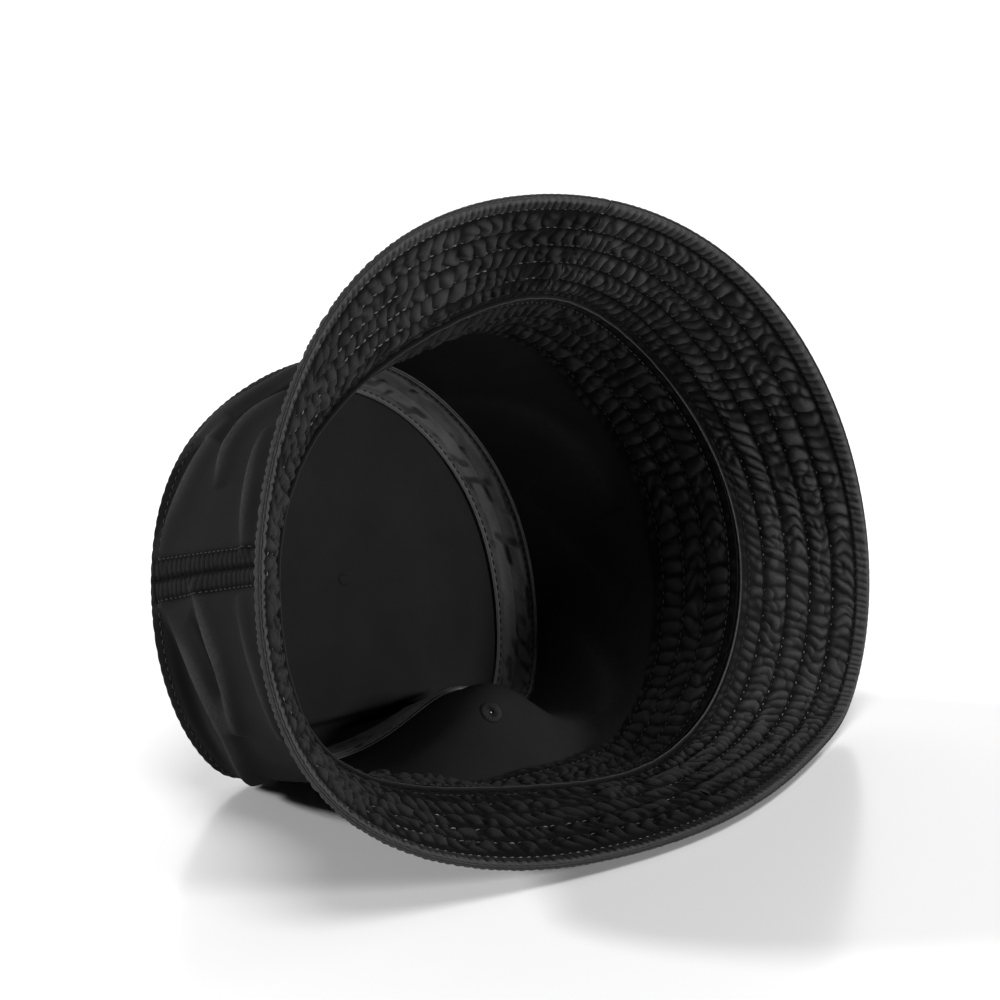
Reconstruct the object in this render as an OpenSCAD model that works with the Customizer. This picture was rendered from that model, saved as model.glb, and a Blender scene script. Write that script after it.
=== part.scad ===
// Bucket hat of washed cotton twill, lying on its side as a soft hat does.
// +Z is up and the hat rests on z = 0. The opening faces +X, the front of the
// brim is at +Y and the centre-back seam at -Y.

/* [Size] */
// Head size round the sweatband; every length of the shape follows it
head_size = 580; // [540:10:620]

/* [Cloth] */
// Thickness of one layer of twill
twill = 0.6; // [0.4:0.1:0.7]
// Thickness of the stiffening cloth inside the brim
stiffener = 0.5; // [0.3:0.1:0.6]
// Air left between two layers that lie on each other
layer_gap = 0.15; // [0.1:0.05:0.2]
// Thickness of the padding inside the sweatband
padding = 1; // [0.6:0.2:1.4]

/* [Brim] */
// Rows of stitching round the brim
brim_rows = 5; // [3:1:5]
// Distance from the brim's edge to the first row
first_row = 5; // [4:0.5:6]
// Distance from one row to the next
row_gap = 9; // [7:0.5:9]

/* [Sweatband and tape] */
// Width of the sweatband, from the brim seam up into the crown
band_width = 32; // [28:1:36]
// Width of the tape that covers the seam between tip and wall
tape_width = 18; // [14:1:20]

/* [Eyelets] */
// Outer diameter of a sewn eyelet
eyelet_d = 8; // [7:0.5:9]
// Diameter of its air hole
eyelet_hole_d = 2.6; // [2:0.2:3]
// Distance of the eyelets from the tip seam
eyelet_rise = 41; // [36:1:46]

/* [Hidden] */

// ---- the shape: three closed seams, each given by eight stations ----

// Station 0 is the front, 2 the side that lies uppermost, 4 the back and
// 6 the side that lies on the floor, for a head of 580 mm.
nominal_head = 580;
k = head_size / nominal_head;

// The seam that joins crown, brim and sweatband
OPENING = [[7, 105, 72], [-9, 66, 142], [0, -4, 163], [4, -77, 138],
           [20, -111, 84], [26, -86, 29], [41, -18, 11], [35, 57, 12]];
// The seam round the tip of the crown
TIP = [[-68, 69, 39], [-82, 50, 97], [-83, -3, 129], [-80, -56, 119],
       [-65, -93, 73], [-56, -68, 1], [-45, -1, -8], [-51, 48, -8]];
// The outer edge of the brim
EDGE = [[33, 145, 58], [35, 83, 161], [31, -16, 201], [31, -97, 175],
        [58, -145, 90], [73, -93, 18], [84, 6, -1], [55, 101, -1]];

// Along the wall from tip seam to opening, and along the brim
wall_depth = 88;
brim_width = 50;

// The floor pushes the tip seam up between the crown's two feet ...
dent_rise = 15;
dent_turn = 281;
dent_spread = 21;
// ... the wall above it buckles into the crown as far as the sweatband ...
hump_rise = 14;
hump_turn = 280;
hump_spread = 20;
hump_reach = 0.62;
hump_lean = 1.3;
// ... and under the sweatband it sags to the floor
sag = 9.4;
sag_from = 246;
sag_to = 326;
sag_ease = 25;
sag_start = 0.45;
// The tip bulges outwards between its seams
tip_bulge = 5;
// Cloth comes down on the floor over this height, and hangs free above the next
settle = 2.5;
free_height = 25;
wall_rest = 0.9;
brim_rest = 1.5;

cols = 48;
step = 360 / cols;
// The brim's side seams
left_col = 10;
right_col = 38;
// The centre-back seam of the wall, at the tip and at the opening
back_turn_tip = 180;
back_turn_opening = 168;
// Where each pair of eyelets has its middle, and how far round an eyelet is from it
left_eyelets = 98;
right_eyelets = 262;
eyelet_turn = 14;
// Half the height of an eyelet at its ring and at its rim
eyelet_h = 1.4;
eyelet_rim_h = 0.9;
// Width of the slope at its rim, and of the thread inside the edge of the cut hole
eyelet_slope = 0.6;
hole_margin = 0.8;

thread_w = 0.5;
thread_h = 0.4;
// Cloth stops this far from the middle of a seam
seam_clear = 0.4;
brim_clear = 1.2;
// Clearance of stitched-on trim over flat facets that bridge a curve
trim_clear = 0.4;
// How far the tape stands out of the corner that it bridges
corner_lift = 0.5;
// The twin rows beside the back seam are this far round from it
back_row_turn = 4;

// Share of each station at an angle, so that a smooth curve joins them; u below 1
// gives the film that the curve spans, with its middle at 0
function share(a, u) =
    (1 + 2 * u * cos(a) + 2 * pow(u, 2) * cos(2 * a) + 2 * pow(u, 3) * cos(3 * a)
     + pow(u, 4) * cos(4 * a)) / 8;
function ring(stations, a, u = 1) = [for (i = [0:7]) share(a - 45 * i, u)] * stations * k;
// Cloth that would sink below its rest height lies on it instead
function lie(p, rest) =
    [p.x, p.y, p.z > free_height ? p.z : rest + settle * ln(1 + exp((p.z - rest) / settle))];
function bell(a, middle, spread) = exp(-pow((a - middle) / spread, 2));
function part_way(x, low, high) = min(1, max(0, (x - low) / (high - low)));
function smooth(x, low, high) = let (t = part_way(x, low, high)) t * t * (3 - 2 * t);

function tip_film(a, u) =
    lie(ring(TIP, a, u), wall_rest)
    + [0, 0, dent_rise * bell(a, dent_turn, dent_spread) * pow(u, 5) * k];
function tip_seam(a) = tip_film(a, 1);
function opening(a) = ring(OPENING, a);
function edge(a) = lie(ring(EDGE, a), brim_rest);

// How far the wall rises from its straight line between tip seam and opening
function hump(a, s) =
    hump_rise * bell(a, hump_turn, hump_spread) * sin(180 * pow(min(s / hump_reach, 1), hump_lean))
    - sag * smooth(a, sag_from, sag_from + sag_ease) * smooth(-a, -sag_to, sag_ease - sag_to)
      * sin(180 * part_way(s, sag_start, 1));
// A point of the wall, a share s of the way from tip seam to opening
function wall_point(a, s) =
    lie(tip_seam(a) * (1 - s) + opening(a) * s + [0, 0, hump(a, s) * k], wall_rest);

turns = [for (c = [0:cols - 1]) c * step];
function mean(points) = [for (p = points) 1] * points / len(points);

// Distances down the wall from the tip seam where rows of points lie
tape_half = tape_width / 2;
tape_row = tape_half - 1.5;
tape_inner = tape_row - 3;
band_fold = wall_depth - band_width;
band_rows = [band_fold + 4, band_fold + 12, band_fold + 20, wall_depth - 3];
wall_rows = concat([seam_clear, tape_inner, tape_row, tape_half, 20, 32, 44, band_fold],
                   band_rows, [wall_depth - seam_clear]);
row_fold = 7;
row_last = len(wall_rows) - 1;
wall_grid = [for (d = wall_rows) [for (a = turns) wall_point(a, d / wall_depth)]];

// Distances out along the brim from the opening
edge_stitch = 2.4;
stitch_rows = [for (i = [brim_rows - 1:-1:0]) brim_width - first_row - i * row_gap];
brim_stations = concat([brim_clear, edge_stitch], stitch_rows, [brim_width]);
brim_grid = [for (d = brim_stations) [for (a = turns)
    lie(opening(a) * (1 - d / brim_width) + edge(a) * d / brim_width, brim_rest)]];

// The tip, from its middle out to its seam
tip_radius = 78;
tip_rows = [14, 30, 50, tip_radius - tape_half, tip_radius - tape_row,
            tip_radius - tape_inner, tip_radius - seam_clear];
tip_grid = [for (radius = tip_rows) let (u = radius / tip_radius) [for (a = turns)
    tip_film(a, u) - [tip_bulge * k * (1 - u * u), 0, 0]]];
tip_last = len(tip_grid) - 1;

// Direction out of the cloth towards the inside of the hat at a grid point
function inward(g, r, c) =
    let (along = g[r][(c + 1) % cols] - g[r][(c + cols - 1) % cols],
         across = g[min(r + 1, len(g) - 1)][c] - g[max(r - 1, 0)][c],
         n = cross(across, along))
    n / norm(n);
function off(g, r, c, height) = g[r][c % cols] + height * inward(g, r, c % cols);

// ---- solids swept round the hat ----

// Joins the section loops of neighbouring columns; an open sweep is capped
module swept(loops, closed) {
    count = len(loops);
    m = len(loops[0]);
    spans = closed ? count : count - 1;
    half = m / 2;
    sides = [for (c = [0:spans - 1], i = [0:m - 1])
        let (d = (c + 1) % count, j = (i + 1) % m)
        each [[c * m + i, d * m + i, d * m + j], [c * m + i, d * m + j, c * m + j]]];
    caps = closed ? [] : [for (i = [0:half - 2])
        let (e = (count - 1) * m, o = m - 1 - i)
        each [[i, i + 1, o - 1], [i, o - 1, o],
              [e + o - 1, e + i + 1, e + i], [e + o, e + o - 1, e + i]]];
    polyhedron(points = [for (l = loops) each l], faces = concat(sides, caps), convexity = 10);
}

// One layer of cloth between two heights over a grid
module layer(g, r0, r1, low, high, c0 = 0, c1 = cols) {
    closed = c1 - c0 == cols;
    last = closed ? c1 - 1 : c1;
    swept([for (c = [c0:last]) concat(
        [for (r = [r0:r1]) off(g, r, c, high)],
        [for (r = [r1:-1:r0]) off(g, r, c, low)])], closed);
}

// One row of stitching that lies on the cloth along a grid row
module stitch_row(g, r, low, high) {
    swept([for (c = [0:cols - 1])
        let (n = inward(g, r, c),
             up = g[r - 1][c] - g[r][c],
             down = g[r + 1][c] - g[r][c],
             a = g[r][c] + up * thread_w / 2 / norm(up),
             b = g[r][c] + down * thread_w / 2 / norm(down))
        [a + n * high, b + n * high, b + n * low, a + n * low]], true);
}

// ---- the crown ----

module wall_cloth() {
    layer(wall_grid, 0, row_last, -twill, 0);
}

// Lays its children on the wall, +Z towards the inside of the hat
module on_wall(a) {
    s = eyelet_rise / wall_depth;
    p = wall_point(a, s);
    along = wall_point(a + 2, s) - wall_point(a - 2, s);
    across = wall_point(a, s + 0.03) - wall_point(a, s - 0.03);
    n = cross(across, along) / norm(cross(across, along));
    translate(p - n * twill / 2)
        rotate([0, acos(n.z), atan2(n.y, n.x)]) children();
}

module eyelet_pair(middle) {
    for (side = [-1, 1]) on_wall(middle + side * eyelet_turn) children();
}

module crown_wall() {
    cut_d = eyelet_hole_d + 2 * hole_margin;
    color([0.10, 0.10, 0.11]) difference() {
        wall_cloth();
        for (middle = [left_eyelets, right_eyelets])
            eyelet_pair(middle) cylinder(d = cut_d, h = eyelet_d, center = true, $fn = 24);
    }
}

// The round panel that closes the crown
module crown_tip() {
    color([0.11, 0.11, 0.12]) {
        low = [for (r = [0:tip_last]) [for (c = [0:cols - 1]) off(tip_grid, r, c, -twill)]];
        high = [for (r = [0:tip_last]) [for (c = [0:cols - 1]) off(tip_grid, r, c, 0)]];
        rings = concat([for (r = [tip_last:-1:0]) high[r]], low);
        n = len(rings);
        middle_in = mean(high[0]);
        middle_out = mean(low[0]);
        bands = [for (r = [0:n - 2]) if (r != tip_last) each [for (c = [0:cols - 1])
            let (d = (c + 1) % cols, a = r * cols, b = (r + 1) * cols)
            each [[a + c, b + d, a + d], [a + c, b + c, b + d]]]];
        rim = [for (c = [0:cols - 1])
            let (d = (c + 1) % cols, b = (n - 1) * cols)
            each [[c, d, b + d], [c, b + d, b + c]]];
        hub = [for (c = [0:cols - 1])
            let (d = (c + 1) % cols, a = tip_last * cols, b = (tip_last + 1) * cols)
            each [[a + c, n * cols, a + d], [b + c, b + d, n * cols + 1]]];
        polyhedron(points = concat([for (l = rings) each l], [middle_in, middle_out]),
                   faces = concat(bands, rim, hub), convexity = 10);
    }
}

// Tape folded round the inside corner, half on the wall and half on the tip
module tip_seam_tape() {
    color([0.13, 0.13, 0.14]) swept([for (c = [0:cols - 1])
        let (nw = inward(wall_grid, 0, c),
             nt = inward(tip_grid, tip_last, c),
             corner = tip_seam(turns[c]),
             low = trim_clear,
             high = trim_clear + twill)
        [off(tip_grid, tip_last - 3, c, high), off(tip_grid, tip_last - 1, c, high),
         corner + (nw + nt) * (high + corner_lift),
         off(wall_grid, 1, c, high), off(wall_grid, 3, c, high),
         off(wall_grid, 3, c, low), off(wall_grid, 1, c, low),
         corner + (nw + nt) * (low + corner_lift),
         off(tip_grid, tip_last - 1, c, low), off(tip_grid, tip_last - 3, c, low)]], true);
}

// ---- the brim: top cloth, stiffening cloth and under cloth, in two halves ----

top_low = -stiffener / 2 - layer_gap - twill;
under_high = -top_low;
back_half = [left_col, right_col];
front_half = [right_col, left_col + cols];
edge_row = len(brim_stations) - 1;

module brim_top(half) {
    color([0.10, 0.10, 0.11]) layer(brim_grid, 0, edge_row, top_low, top_low + twill, half[0], half[1]);
}

module brim_under(half) {
    color([0.12, 0.12, 0.13])
        layer(brim_grid, 0, edge_row, under_high - twill, under_high, half[0], half[1]);
}

// The stiffening cloth stops at the first row of stitching
module brim_stiffener(half) {
    color([0.75, 0.74, 0.70])
        layer(brim_grid, 0, edge_row - 1, -stiffener / 2, stiffener / 2, half[0], half[1]);
}

// ---- the sweatband: one folded strip round its padding ----

band_low = trim_clear;
band_in = band_low + twill + layer_gap;
band_out = band_in + padding;
band_high = band_out + layer_gap + twill;

module sweatband() {
    color([0.12, 0.12, 0.13]) swept([for (c = [0:cols - 1]) concat(
        [for (r = [row_fold:row_last]) off(wall_grid, r, c, band_high)],
        [for (r = [row_last:-1:row_fold + 1]) off(wall_grid, r, c, band_high - twill)],
        [for (r = [row_fold + 1:row_last]) off(wall_grid, r, c, band_low + twill)],
        [for (r = [row_last:-1:row_fold]) off(wall_grid, r, c, band_low)])], true);
}

module sweatband_padding() {
    color([0.80, 0.80, 0.78])
        layer(wall_grid, row_fold + 1, row_last - 1, band_in, band_out);
}

// ---- eyelets: thread wound round an air hole on both faces of the wall ----

module eyelet() {
    hole_r = eyelet_hole_d / 2;
    core_r = hole_r + eyelet_slope;
    ring_r = eyelet_d / 2 - eyelet_slope;
    rim_r = eyelet_d / 2;
    rotate_extrude($fn = 32) polygon([
        [hole_r, -eyelet_h], [ring_r, -eyelet_h], [rim_r, -eyelet_rim_h],
        [core_r, -eyelet_rim_h], [core_r, eyelet_rim_h],
        [rim_r, eyelet_rim_h], [ring_r, eyelet_h], [hole_r, eyelet_h]]);
}

module eyelets_left() {
    color([0.14, 0.14, 0.15]) eyelet_pair(left_eyelets) eyelet();
}

module eyelets_right() {
    color([0.14, 0.14, 0.15]) eyelet_pair(right_eyelets) eyelet();
}

// ---- thread ----

module brim_top_thread() {
    color([0.22, 0.22, 0.23]) for (r = [2:edge_row - 1])
        stitch_row(brim_grid, r, top_low - layer_gap - thread_h, top_low - layer_gap);
}

module brim_under_thread() {
    color([0.30, 0.30, 0.31]) for (r = [2:edge_row - 1])
        stitch_row(brim_grid, r, under_high + layer_gap, under_high + layer_gap + thread_h);
}

// Edge stitching close beside the opening, on the sweatband and on the brim
module opening_seam_thread() {
    on_band = band_high + layer_gap;
    on_brim = under_high + layer_gap;
    color([0.30, 0.30, 0.31]) {
        stitch_row(wall_grid, row_last - 1, on_band, on_band + thread_h);
        stitch_row(brim_grid, 1, on_brim, on_brim + thread_h);
    }
}

module sweatband_thread() {
    color([0.30, 0.30, 0.31]) for (r = [row_fold + 1:row_last - 2])
        stitch_row(wall_grid, r, band_high + layer_gap, band_high + layer_gap + thread_h);
}

module tape_thread() {
    low = trim_clear + twill + layer_gap;
    color([0.22, 0.22, 0.23]) {
        stitch_row(wall_grid, 2, low, low + thread_h);
        stitch_row(tip_grid, tip_last - 2, low, low + thread_h);
    }
}

// The same two rows, seen on the outside of wall and tip
module crown_topstitch_thread() {
    high = -twill - layer_gap;
    color([0.22, 0.22, 0.23]) {
        stitch_row(wall_grid, 2, high - thread_h, high);
        stitch_row(tip_grid, tip_last - 2, high - thread_h, high);
    }
}

// Twin rows down the wall, one each side of the pressed-open back seam
module back_seam_thread() {
    // Shares of the way down the wall
    stations = [0.12, 0.3, 0.5, 0.7, 0.88];
    color([0.22, 0.22, 0.23]) for (side = [-1, 1])
        swept([for (s = stations)
            let (a = back_turn_tip * (1 - s) + back_turn_opening * s + side * back_row_turn,
                 p = wall_point(a, s),
                 along = wall_point(a + 1, s) - wall_point(a - 1, s),
                 across = wall_point(a, s + 0.02) - wall_point(a, s - 0.02),
                 n = cross(along, across) / norm(cross(along, across)),
                 t = along / norm(along) * thread_w / 2,
                 low = twill + trim_clear,
                 high = low + thread_h)
            [p - t + n * high, p + t + n * high, p + t + n * low, p - t + n * low]], false);
}

crown_tip();
crown_wall();
tip_seam_tape();
brim_top(back_half);  // brim_top_back
brim_top(front_half);  // brim_top_front
brim_stiffener(back_half);  // brim_stiffener_back
brim_stiffener(front_half);  // brim_stiffener_front
brim_under(back_half);  // brim_under_back
brim_under(front_half);  // brim_under_front
sweatband();
sweatband_padding();
eyelets_left();
eyelets_right();
brim_top_thread();
brim_under_thread();
opening_seam_thread();
sweatband_thread();
tape_thread();
crown_topstitch_thread();
back_seam_thread();
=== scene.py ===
"""A washed cotton bucket hat lying on its side on a glossy white floor."""
import math

import bpy
import numpy as np
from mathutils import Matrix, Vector


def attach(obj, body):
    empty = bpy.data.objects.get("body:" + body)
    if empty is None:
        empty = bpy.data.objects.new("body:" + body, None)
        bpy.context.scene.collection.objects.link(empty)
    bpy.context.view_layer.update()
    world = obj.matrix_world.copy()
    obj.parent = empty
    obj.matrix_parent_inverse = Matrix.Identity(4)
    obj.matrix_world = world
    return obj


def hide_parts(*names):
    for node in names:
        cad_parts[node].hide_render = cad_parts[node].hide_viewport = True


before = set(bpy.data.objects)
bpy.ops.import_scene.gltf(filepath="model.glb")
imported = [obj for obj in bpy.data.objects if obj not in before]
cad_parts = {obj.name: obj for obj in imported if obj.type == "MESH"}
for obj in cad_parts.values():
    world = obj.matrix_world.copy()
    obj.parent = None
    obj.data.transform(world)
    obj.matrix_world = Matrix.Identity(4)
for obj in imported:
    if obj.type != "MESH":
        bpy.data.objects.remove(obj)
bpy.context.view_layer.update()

# Lengths are in millimetres and angles in degrees up to the moment a mesh is made.
MM = 0.001

# ---------------------------------------------------------------- the shape

# Three closed seams, each through eight stations: front, right front, right ...
OPENING = np.array([[7, 105, 72], [-9, 66, 142], [0, -4, 163], [4, -77, 138],
                    [20, -111, 84], [26, -86, 29], [41, -18, 11], [35, 57, 12]], float)
TIP = np.array([[-68, 69, 39], [-82, 50, 97], [-83, -3, 129], [-80, -56, 119],
                [-65, -93, 73], [-56, -68, 1], [-45, -1, -8], [-51, 48, -8]], float)
EDGE = np.array([[33, 145, 58], [35, 83, 161], [31, -16, 201], [31, -97, 175],
                 [58, -145, 90], [73, -93, 18], [84, 6, -1], [55, 101, -1]], float)
WALL_DEPTH = 88.0
BRIM_WIDTH = 50.0
TIP_RADIUS = 78.0
TIP_BULGE = 5.0
WALL_REST = 0.9
BRIM_REST = 1.5
SETTLE = 2.5
FLOOR_GAP = 0.15

# Thickness of the cloth, and the rows of stitches either side of the tip seam
TWILL = 0.6
TAPE_ROW = 7.5

EYELET_RISE = 41.0
EYELET_TURN = 14.0
LEFT_EYELETS = 98.0
RIGHT_EYELETS = 262.0
LEFT_SEAM = 75.0
RIGHT_SEAM = 285.0
BACK_TURN = (180.0, 169.0)


def ring(stations, turn, u=1.0):
    """A smooth closed curve through eight stations; u < 1 gives the smooth film it spans."""
    lag = np.radians(np.asarray(turn, float)[..., None] - 45.0 * np.arange(8))
    u = np.asarray(u, float)[..., None]
    share = 1 + u ** 4 * np.cos(4 * lag)
    for m in (1, 2, 3):
        share = share + 2 * u ** m * np.cos(m * lag)
    return share / 8 @ stations


def lie(p, rest):
    """Cloth that would sink below its rest height lies on it instead."""
    z = p[..., 2]
    soft = rest + SETTLE * np.log1p(np.exp(np.minimum((z - rest) / SETTLE, 40)))
    return np.concatenate([p[..., :2], np.where(z > 25, z, soft)[..., None]], -1)


def bell(x, middle, spread):
    return np.exp(-((x - middle) / spread) ** 2)


def smooth(x, low, high):
    t = np.clip((x - low) / (high - low), 0, 1)
    return t * t * (3 - 2 * t)


def lift(p, x=0.0, z=0.0):
    q = p.copy()
    q[..., 0] += x
    q[..., 2] += z
    return q


def tip_film(turn, u):
    dent = 15 * bell(np.mod(turn, 360), 281, 21) * u ** 5
    return lift(lie(ring(TIP, turn, u), WALL_REST), z=dent)


def tip_seam(turn):
    return tip_film(turn, np.ones_like(np.asarray(turn, float)))


def tip_panel(turn, u):
    """The tip from its middle, u = 0, to its seam, u = 1."""
    p = tip_film(turn, u)
    # Near the floor the cloth swells into a crease and folds back under it
    over = p[..., 2] - 14.5
    across = smooth(p[..., 1], -62, -44) * smooth(-p[..., 1], -26, -12)
    swell = 5 * np.exp(-np.maximum(over, 0) / 14) - 8 * smooth(-over, 0, 4)
    fold = swell * across * smooth(1 - u, 0, 0.08)
    return lift(p, x=-TIP_BULGE * (1 - u * u) + fold)


def wall_panel(turn, s):
    """The wall from the tip seam, s = 0, to the opening, s = 1."""
    p = tip_seam(turn) * (1 - s)[..., None] + ring(OPENING, turn) * s[..., None]
    # On the floor side it buckles into the crown, then sags to the floor under the sweatband
    at = np.mod(turn, 360)
    hump = 14 * bell(at, 280, 20) * np.sin(math.pi * np.clip(s / 0.62, 0, 1) ** 1.3)
    sag = 9.4 * smooth(at, 246, 271) * smooth(-at, -326, -301)
    return lie(lift(p, z=hump - sag * np.sin(math.pi * np.clip((s - 0.45) / 0.55, 0, 1))), WALL_REST)


def crown_raw(turn, v):
    """Tip and wall as one sheet; v is the distance from the tip seam, negative on the tip."""
    on_tip = tip_panel(turn, np.clip(1 + v / TIP_RADIUS, 0, 1))
    on_wall = wall_panel(turn, np.clip(v / WALL_DEPTH, 0, 1.05))
    return np.where((v < 0)[..., None], on_tip, on_wall)


def crown(turn, v, r=2.2):
    """The same sheet with the corner at the tip seam rounded over a distance r."""
    return (crown_raw(turn, v - r) + 2 * crown_raw(turn, v) + crown_raw(turn, v + r)) / 4


def tape_surface(turn, v):
    """The tape bridges the corner in a wider round."""
    wide = (crown(turn, v - 5.5, 3.0) + 2 * crown(turn, v, 5.5) + crown(turn, v + 5.5, 3.0)) / 4
    near = np.exp(-(v / 9.5) ** 6)[..., None]
    return wide * near + crown(turn, v) * (1 - near)


def brim(turn, v):
    """The brim; v is the distance from the opening."""
    s = (v / BRIM_WIDTH)[..., None]
    return lie(ring(OPENING, turn) * (1 - s) + lie(ring(EDGE, turn), BRIM_REST) * s, BRIM_REST)


def place(surface, turn, v, step=0.4):
    """Points of a surface and the directions out of it towards the inside of the hat."""
    turn, v = np.broadcast_arrays(np.asarray(turn, float), np.asarray(v, float))
    along = surface(turn + step, v) - surface(turn - step, v)
    across = surface(turn, v + step) - surface(turn, v - step)
    n = np.cross(across, along)
    return surface(turn, v), n / np.linalg.norm(n, axis=-1, keepdims=True)


def length_round(surface, v):
    turn = np.linspace(0, 360, 721)
    p = surface(turn, np.full_like(turn, v))
    return np.linalg.norm(np.diff(p, axis=0), axis=1).sum()


# ---------------------------------------------------------------- relief

NOISE_ROWS = 64


def noise(x, y, seed, cells):
    """Smooth noise from -1 to 1 that wraps after `cells` in x."""
    lattice = np.random.RandomState(seed).uniform(-1, 1, (NOISE_ROWS, cells))
    x, y = np.broadcast_arrays(np.asarray(x, float), np.asarray(y, float))
    xi = np.floor(x).astype(int)
    yi = np.floor(y).astype(int)
    fx = x - xi
    fy = y - yi
    fx = fx * fx * (3 - 2 * fx)
    fy = fy * fy * (3 - 2 * fy)

    def corner(i, j):
        return lattice[(yi + j) % NOISE_ROWS, (xi + i) % cells]

    top = corner(0, 0) * (1 - fx) + corner(1, 0) * fx
    low = corner(0, 1) * (1 - fx) + corner(1, 1) * fx
    return top * (1 - fy) + low * fy


def way_round(turn):
    """How far round the hat an angle is, from 0 to 1."""
    return np.mod(turn, 360) / 360


def gathers(turn, across, pitch, around, seed, slant=0.0):
    """Cloth gathered across a row of stitches: 0 in its creases, 1 on its crests."""
    cells = max(8, int(round(around / pitch)))
    x = way_round(turn) * cells
    few = max(4, cells // 3)
    wander = 0.6 * noise(x * few / cells, across * 0.2, seed, few)
    lean = slant * across / pitch * noise(x * few / cells, 3.5, seed + 1, few)
    return np.abs(np.sin(math.pi * (x + wander + lean))) ** 0.9


def cobbles(turn, v, around, seed, size):
    """Irregular round lumps parted by a network of creases: 0 in the creases, 1 on the lumps."""
    cells = int(around / size)
    x = way_round(turn) * cells
    bend = 0.9 * noise(x * 0.5, v / size / 2, seed + 1, (cells + 1) // 2)
    mesh = noise(x, v / size + bend, seed, cells)
    return smooth(np.abs(mesh), 0.0, 0.45)


def channel_relief(turn, v, rows, heights, pitch, around, seed):
    """Puffs between neighbouring rows of stitches, with a height for each channel."""
    h = np.zeros(np.broadcast(turn, v).shape)
    lumps = cobbles(turn, v, around, seed + 3, 0.95 * pitch)
    for i, (low, high) in enumerate(zip(rows, rows[1:])):
        width = high - low
        t = np.clip((v - low) / width, 0, 1)
        inside = (v >= low) & (v <= high)
        puff = np.sin(math.pi * t) ** 0.5
        crest = gathers(turn, t * width, pitch, around, seed + 7 * i, 0.3)
        swell = 1 + 0.3 * noise(way_round(turn) * 90, v / 7, seed + 5 + i, 90)
        h += inside * heights[i] * puff * (0.15 + 0.85 * crest) * (0.45 + 0.55 * lumps) * swell
    return h


def seam_round(distance, radius):
    """1 well inside a piece, falling to 0 in a round at its edge."""
    t = np.clip(distance / radius, 0, 1)
    return np.sqrt(1 - (1 - t) ** 2)


# ---------------------------------------------------------------- meshes

def new_object(name, verts, faces, material, uv=None, wear_and_shade=None):
    """Makes a mesh object; faces is a list of arrays of corners, uv one array per face array."""
    mesh = bpy.data.meshes.new(name)
    verts = np.array(verts)
    verts[:, 2] = np.maximum(verts[:, 2], FLOOR_GAP)
    mesh.vertices.add(len(verts))
    mesh.vertices.foreach_set("co", (verts * MM).astype(np.float32).ravel())
    corners = np.concatenate([f.ravel() for f in faces])
    totals = np.concatenate([np.full(len(f), f.shape[1]) for f in faces])
    mesh.loops.add(len(corners))
    mesh.loops.foreach_set("vertex_index", corners.astype(np.int32))
    mesh.polygons.add(len(totals))
    mesh.polygons.foreach_set("loop_start", (np.cumsum(totals) - totals).astype(np.int32))
    if uv is not None:
        layer = mesh.uv_layers.new(name="cloth")
        flat = np.concatenate([u.reshape(-1, 2) for u in uv])
        layer.data.foreach_set("uv", flat.astype(np.float32).ravel())
    if wear_and_shade is not None:
        attribute = mesh.attributes.new("wear_and_shade", "FLOAT", "POINT")
        attribute.data.foreach_set("value", np.asarray(wear_and_shade, np.float32))
    mesh.update(calc_edges=True)
    mesh.validate()
    mesh.shade_smooth()
    obj = bpy.data.objects.new(name, mesh)
    bpy.context.scene.collection.objects.link(obj)
    mesh.materials.append(material)
    return obj


def grid_faces(rows, cols, closed, turns, v, around, first=0, flip=False):
    """Quads over a grid, with cloth coordinates in metres along and across."""
    span = cols if closed else cols - 1
    r, c = np.meshgrid(np.arange(rows - 1), np.arange(span), indexing="ij")
    d = (c + 1) % cols
    quads = np.stack([r * cols + c, r * cols + d, (r + 1) * cols + d, (r + 1) * cols + c], -1)
    u0 = turns[c] / 360 * around * MM
    u1 = np.where(d == 0, turns[0] + 360, turns[d]) / 360 * around * MM
    w0, w1 = v[r] * MM, v[r + 1] * MM
    uv = np.stack([np.stack([u0, w0], -1), np.stack([u1, w0], -1),
                   np.stack([u1, w1], -1), np.stack([u0, w1], -1)], -2)
    quads = quads.reshape(-1, 4) + first
    uv = uv.reshape(-1, 4, 2)
    return (quads[:, ::-1], uv[:, ::-1]) if flip else (quads, uv)


def rim_faces(rows, cols, closed, second):
    """Quads that join the edges of the front grid to those of the back grid."""
    span = cols if closed else cols - 1
    c = np.arange(span)
    d = (c + 1) % cols
    last = (rows - 1) * cols
    strips = [np.stack([d, c, c + second, d + second], -1),
              np.stack([last + c, last + d, last + d + second, last + c + second], -1)]
    if not closed:
        r = np.arange(rows - 1) * cols
        end = cols - 1
        strips.append(np.stack([r, r + cols, r + cols + second, r + second], -1))
        strips.append(np.stack([r + cols + end, r + end, r + end + second,
                                r + cols + end + second], -1))
    return np.concatenate(strips)


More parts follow.
